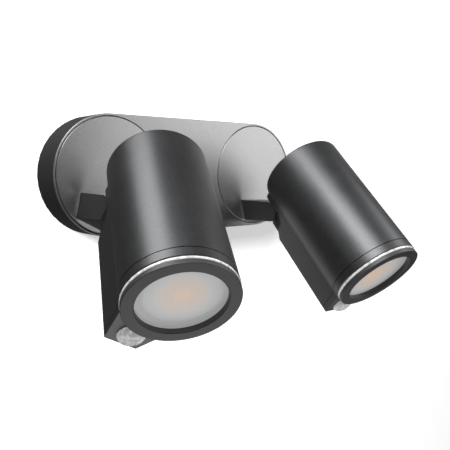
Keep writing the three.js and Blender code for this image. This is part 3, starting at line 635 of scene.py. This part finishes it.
def makeCasing():
    h, k = head, keel
    bm = bmesh.new()
    front = -h["seam"] - h["shutLine"] / 2
    ring = headOutline(bm, front)
    first = list(ring)
    bottom = k["bottom"]
    drop = bottom - k["saddle"]
    for limit, z in ((bottom, -k["end"]), (k["saddle"], -k["end"] - drop), (k["saddle"], -k["saddleEnd"]),
                     (k["pad"], -k["saddleEnd"]), (k["pad"], -h["length"] + h["rearRound"])):
        ring = drawOut(bm, ring, liftKeel(bottom, limit, z))
        bottom = limit
    angles = quarterTurn(h["rearTurns"])
    for a, b in zip(angles, angles[1:]):
        inward = h["rearRound"] * (cos(a) - cos(b))
        shrink = 1 - inward / (h["radius"] - h["rearRound"] * (1 - cos(a)))
        back = -h["length"] + h["rearRound"] * (1 - sin(b))
        ring = drawOut(bm, ring, ringTo(0, shrink, back))
    bmesh.ops.edgeloop_fill(bm, edges=ring)
    bmesh.ops.edgeloop_fill(bm, edges=first)
    bm.normal_update()

    def onKeel(edge):
        # corners of the keel and its saddle, clear of the front end and of the round at the back
        at = middle(edge)
        clearOfEnds = abs(at.z + h["length"]) > k["backSpare"] and at.z < front - k["frontSpare"]
        return abs(at.y) > k["rootDepth"] - k["rootSpare"] and clearOfEnds

    soften(bm, sharpEdges(bm, k["sharp"], onKeel), k["corner"])
    return bm


def makeLug():
    # the eye under the casing that sits in the arm's slot
    radius, top = keel["lugRadius"], -keel["pad"] + keel["lugLap"]
    pivotY, pivotZ = -hingeAt["pivotOff"], -hingeAt["pivotDepth"]
    outline = [(pivotY - radius * sin(t), pivotZ - radius * cos(t)) for t in halfTurn(keel["lugSteps"])]
    outline += [(top, pivotZ + radius), (top, pivotZ - radius)]
    return sideShape(outline, keel["lugHalf"])


def drum(radius, zFrom, zTo):
    bm = bmesh.new()
    circle(bm, radius, zFrom, head["sideCount"])
    bmesh.ops.edgeloop_fill(bm, edges=bm.edges[:])
    return thicken(bm, bm.faces[:], (0, 0, zTo - zFrom))


def makeCollar():
    # a turned ring with broken edges, and the foot that closes the front of the keel
    edge, gap = head["collarEdge"], head["gap"]
    front, back = -rim["ringBack"] - gap, -head["seam"] + head["shutLine"] / 2
    bore, outer = rim["skirt"] + gap, head["radius"]
    ring = turned([(bore, front), (outer - edge, front), (outer, front - edge), (outer, back + edge),
                   (outer - edge, back), (bore, back)], head["sideCount"])
    depths = [keelFillet()[1]] + keelDepths()
    bm = bmesh.new()
    corners = [bm.verts.new((keelHalf(below), -below, back)) for below in depths]
    corners += [bm.verts.new((-keelHalf(below), -below, back)) for below in reversed(depths)]
    thicken(bm, [bm.faces.new(corners)], (0, 0, -keel["front"] - back))
    bm = carve(bm, drum(bore, head["cutBack"], 0))
    soften(bm, sharpEdges(bm, keel["sharp"], lambda e: middle(e).y < -outer), edge, 2)
    return carve(ring, bm, "UNION")


def makeLens():
    # clear ring and faceted window in one moulding
    w, gap = lens, head["gap"]
    radius, edge, front, back = rim["ringRadius"], rim["ringEdge"], -rim["ringFront"], -rim["ringBack"]
    bm = bmesh.new()
    bmesh.ops.create_uvsphere(bm, u_segments=w["around"], v_segments=w["rings"], radius=1)
    size = Matrix.Diagonal((w["halfWidth"], w["halfHeight"], w["bulge"], 1))
    bmesh.ops.transform(bm, verts=bm.verts, matrix=Matrix.Translation((0, -w["middle"], w["base"])) @ size)
    cut = bmesh.ops.bisect_plane(bm, geom=bm.verts[:] + bm.edges[:] + bm.faces[:],
                                 plane_co=(0, 0, w["base"]), plane_no=(0, 0, 1), clear_inner=True)
    bmesh.ops.edgeloop_fill(bm, edges=onlyEdges(cut["geom_cut"]))
    # a bridge joins the window to the ring, and both make room for bezel and casing
    bridge = brick(-w["bridgeHalf"], w["bridgeHalf"], -w["middle"] + w["bridgeTuck"],
                   -rim["skirt"] - w["bridgeLap"], back, front)
    bm = carve(bm, bridge, "UNION")
    bm = carve(bm, drum(rim["bezelRadius"] + w["bezelGap"], front, w["cutFront"]))
    bm = carve(bm, drum(head["radius"] + gap, head["cutBack"], back))
    smallest, largest = w["facetArea"]
    facets = [f for f in bm.faces if f.normal.z > w["facetFacing"] and smallest < f.calc_area() < largest
              and f.calc_center_median().z > w["base"] + w["facetAbove"]]
    bmesh.ops.inset_individual(bm, faces=facets, thickness=w["groove"], use_even_offset=True,
                               depth=w["groove"] * w["grooveSlope"])
    bore = rim["skirt"] + gap
    ring = turned([(radius - edge, front), (radius, front - edge), (radius, back + edge),
                   (radius - edge, back), (bore, back), (bore, front)], head["sideCount"])
    return carve(bm, ring, "UNION")


def makeBezel():
    r = rim
    edge, inner, inside = r["bezelEdge"], r["openingEdge"], r["skirt"] - r["skirtWall"]
    seat = -r["glassRecess"] + head["gap"]
    outline = [(r["opening"], -inner), (r["opening"] + inner, 0)]
    for a in quarterTurn(r["bezelSteps"]):
        outline.append((r["bezelRadius"] - edge + edge * sin(a), -edge + edge * cos(a)))
    outline += [(r["bezelRadius"], -r["bezel"]), (r["skirt"], -r["bezel"]), (r["skirt"], -r["skirtEnd"]),
                (inside, -r["skirtEnd"]), (inside, seat), (r["opening"], seat)]
    return turned(outline, head["sideCount"])


def makeGlass():
    r = rim
    radius, edge = r["skirt"] - r["skirtWall"] - head["gap"], r["glassEdge"]
    front, back = -r["glassRecess"], -r["glassRecess"] - r["glassDepth"]
    outline = [(0, front), (radius - edge, front), (radius, front - edge), (radius, back), (0, back)]
    return turned(outline, r["glassSides"])


glassLook = {"roughness": 0.42, "coat": 0.3, "coatRoughness": 0.3, "ior": 1.5, "wobbleScale": 70,
             "wobble": 5, "reach": 30, "frostScale": 2500, "bump": 0.25}


def glassFinish(side):
    # frosted glass, warm at the middle where the lamp shows through it, glowing with painted light, brightest at
    # the middle and again in a ring
    look, spot = glassLook, glow[side]
    made = Finish(side + "_frosted_glass", Roughness=look["roughness"], Coat_Weight=look["coat"],
                  Coat_Roughness=look["coatRoughness"], IOR=look["ior"], Emission_Strength=spot["power"])
    toHead = (headFrame(side) @ Matrix.Scale(1000, 4)).inverted()
    inHead = made.node("Mapping", {"vector_type": "POINT"}, {
        "Vector": made.coordinates(), "Location": toHead.translation, "Rotation": toHead.to_euler()})
    # distance from the lamp's axis, in millimetres, with a slow waver
    centre = Vector((spot["x"], spot["y"], 0)) * 0.001
    there = made.node("VectorMath", {"operation": "SUBTRACT"}, {0: inHead, 1: centre})
    flat = made.node("VectorMath", {"operation": "MULTIPLY"}, {0: there, 1: (1000, 1000, 0)})
    away = made.node("VectorMath", {"operation": "LENGTH"}, {0: flat}, out="Value")
    away = away + (made.noise(look["wobbleScale"], 3.0) - 0.5) * look["wobble"]
    stops = [(at / look["reach"], (*shade, 1)) for at, shade in spot["stops"]]
    colour = made.node("ValToRGB", {"stops": stops}, {"Fac": away / look["reach"]})
    made.feed("Base Color", colour)
    # the same colours glow: painted light
    made.feed("Emission Color", colour)
    made.feed("Normal", made.bump(made.noise(look["frostScale"]), look["bump"], skinDepth))
    return made.material


warm, pale, cool = (0.70, 0.54, 0.43), (0.61, 0.53, 0.465), (0.54, 0.53, 0.52)
# colours of each glass out from its lamp's axis, glowing at the given power: the warm tint is the lamp's own, the
# glow with its darker ring and lighter edge is painted light
glow = {
    "left": {"x": -2, "y": 3, "power": 0.54, "stops": [
        (0, warm), (4.5, warm), (6.5, pale), (11, (0.62, 0.53, 0.46)), (16, cool),
        (22, (0.47, 0.47, 0.475)), (25, (0.38, 0.385, 0.39)), (30, (0.5, 0.505, 0.51))]},
    "right": {"x": -4, "y": 0, "power": 0.54, "stops": [
        (0, warm), (6, warm), (12, pale), (20, cool), (30, (0.42, 0.42, 0.42))]},
}

for side in sides:
    at, body = headFrame(side), side + "_head"
    casing = carve(makeCasing(), makeLug(), "UNION")
    place(casing, side + "_head_casing", at, body, "anthracite", [side + "_casing"])
    place(makeCollar(), side + "_head_collar", at, body, "anthracite", [side + "_front_collar"])
    place(makeLens(), side + "_sensor_window", at, body, "clear_plastic", [side + "_sensor_lens"], 8, False)
    place(makeBezel(), side + "_front_bezel", at, body, "bezel_black", [side + "_bezel"])
    finishes["frosted_glass"] = glassFinish(side)
    place(makeGlass(), side + "_front_glass", at, body, "frosted_glass", [side + "_glass"])
print("heads made")


stage = {"wallSize": 4, "wallBehind": 0.0005, "floorBelow": 0.9, "floorSize": 8, "low": 0.9, "high": 0.92,
         "grainScale": 30, "roughness": 0.9, "glow": 0.6, "worldLight": 0.08, "aim": (0, -0.08, -0.02)}


def stageFinish(name):
    made = Finish(name, Roughness=stage["roughness"], Emission_Strength=stage["glow"])
    shade = made.blend(made.noise(stage["grainScale"]), grey(stage["low"]), grey(stage["high"]))
    made.feed("Base Color", shade)
    made.feed("Emission Color", shade)
    return made


def stagePlane(name, size, matrix, finish):
    # a square that the camera sees and that shades, mirrors and tints nothing
    bm = bmesh.new()
    bmesh.ops.create_grid(bm, x_segments=1, y_segments=1, size=size / 2, matrix=matrix)
    mesh = bpy.data.meshes.new(name)
    bm.to_mesh(mesh)
    bm.free()
    ob = bpy.data.objects.new(name, mesh)
    bpy.context.scene.collection.objects.link(ob)
    mesh.materials.append(finish.material)
    ob.visible_glossy = False
    ob.visible_diffuse = False
    ob.visible_shadow = False
    return ob


# the wall is only there from the front, so that the back of the lamp can be seen
plaster = stageFinish("studio_wall")
facing = plaster.node("NewGeometry", out="Backfacing")
gone = plaster.node("BsdfTransparent")
solid = Signal(plaster, plaster.surface.outputs[0])
mixed = plaster.node("MixShader", None, {0: facing, 1: solid, 2: gone})
plaster.tree.links.new(mixed.socket, plaster.output.inputs["Surface"])
upright = Matrix.Translation((0, stage["wallBehind"], 0)) @ Matrix.Rotation(pi / 2, 4, "X")
level = Matrix.Translation((0, 0, -stage["floorBelow"]))
wall = stagePlane("studio_wall", stage["wallSize"], upright, plaster)
stagePlane("studio_floor", stage["floorSize"], level, stageFinish("studio_floor"))


def softbox(name, look):
    # azimuth 0 is straight out from the wall and grows towards +X
    data = bpy.data.lights.new(name, "AREA")
    data.shape = "RECTANGLE"
    data.size, data.size_y = look["size"]
    data.energy = look["power"]
    lamp = bpy.data.objects.new(name, data)
    aim = Vector(look.get("aim", stage["aim"]))
    a, e = radians(look["azimuth"]), radians(look["elevation"])
    lamp.location = aim + look["away"] * Vector((sin(a) * cos(e), -cos(a) * cos(e), sin(e)))
    lamp.rotation_euler = (lamp.location - aim).to_track_quat("Z", "Y").to_euler()
    lamp.visible_camera = False
    bpy.context.scene.collection.objects.link(lamp)
    return lamp


lights = {
    "left_key": {"azimuth": -122, "elevation": 60, "away": 1.3, "size": (0.7, 0.7), "power": 8.5},
    "right_key": {"azimuth": -44, "elevation": 50, "away": 1.3, "size": (0.85, 0.6), "power": 14},
    "front_right": {"azimuth": 50, "elevation": 19, "away": 1.2, "size": (0.9, 1.1), "power": 10},
    "floor_bounce": {"azimuth": -20, "elevation": -82, "away": 0.9, "size": (1.0, 0.8), "power": 2.8},
    "wall_wash": {"azimuth": -60, "elevation": 28, "away": 1.7, "size": (0.7, 0.7), "power": 62},
    "wall_glow": {"azimuth": 180, "elevation": 0, "away": 0.498, "size": (0.55, 0.8), "power": 0.6,
                  "aim": (0.27, -0.5, -0.15)},
    "back_fill": {"azimuth": 215, "elevation": 35, "away": 1.2, "size": (1.2, 0.8), "power": 40},
}


def linked(name, objects, state="INCLUDE"):
    # a group of objects that a lamp is given, or is kept from
    group = bpy.data.collections.new(name)
    for ob in objects:
        group.objects.link(ob)
    for each in group.collection_objects:
        each.light_linking.link_state = state
    return group


# the wash falls on the wall alone and only the box shades it, and no other lamp lights the wall
housing = bpy.data.objects["box_housing"]
rear = [nodes[n] for n in ("wall_bracket", "rear_seal", "cable_grommet", "terminal_block")]
offWall = linked("spares the wall", [wall], "EXCLUDE")
receivers = {"wall_wash": linked("lights the wall", [wall]), "back_fill": linked("lights the back", rear),
             "wall_glow": linked("spares wall and box", [wall, housing], "EXCLUDE")}
for name, look in lights.items():
    lamp = softbox(name, look)
    lamp.light_linking.receiver_collection = receivers.get(name, offWall)
    if name == "wall_wash":
        lamp.light_linking.blocker_collection = linked("shades the wall", [housing])

world = bpy.data.worlds.new("studio")
world.use_nodes = True
bpy.context.scene.world = world
back = world.node_tree.nodes["Background"]
back.inputs["Color"].default_value = grey(1.0)
back.inputs["Strength"].default_value = stage["worldLight"]

camera = {"at": (-0.30380, -0.43441, 0.00314), "yaw": -40.95, "pitch": -5.65, "roll": -0.15,
          "lens": 44.35, "shift": (-0.0099, 0.0033), "near": 0.01}
data = bpy.data.cameras.new("camera")
data.lens = camera["lens"]
data.shift_x, data.shift_y = camera["shift"]
data.clip_start = camera["near"]
cameraObject = bpy.data.objects.new("camera", data)
cameraObject.location = camera["at"]
heading = Matrix.Rotation(radians(camera["yaw"]), 4, "Z")
tilting = Matrix.Rotation(radians(90 + camera["pitch"]), 4, "X")
rolling = Matrix.Rotation(radians(camera["roll"]), 4, "Z")
cameraObject.rotation_euler = (heading @ tilting @ rolling).to_euler()
bpy.context.scene.collection.objects.link(cameraObject)
bpy.context.scene.camera = cameraObject
bpy.context.scene.view_settings.view_transform = "Standard"
print("stage ready")

# every CAD node still shown takes the finish of its own slot
for part in frame["record"]["subparts"]:
    mesh = nodes[part["node"]].data
    mesh.materials.clear()
    mesh.materials.append(finishes.get(part["material_slot"], finishes["rubber"]))
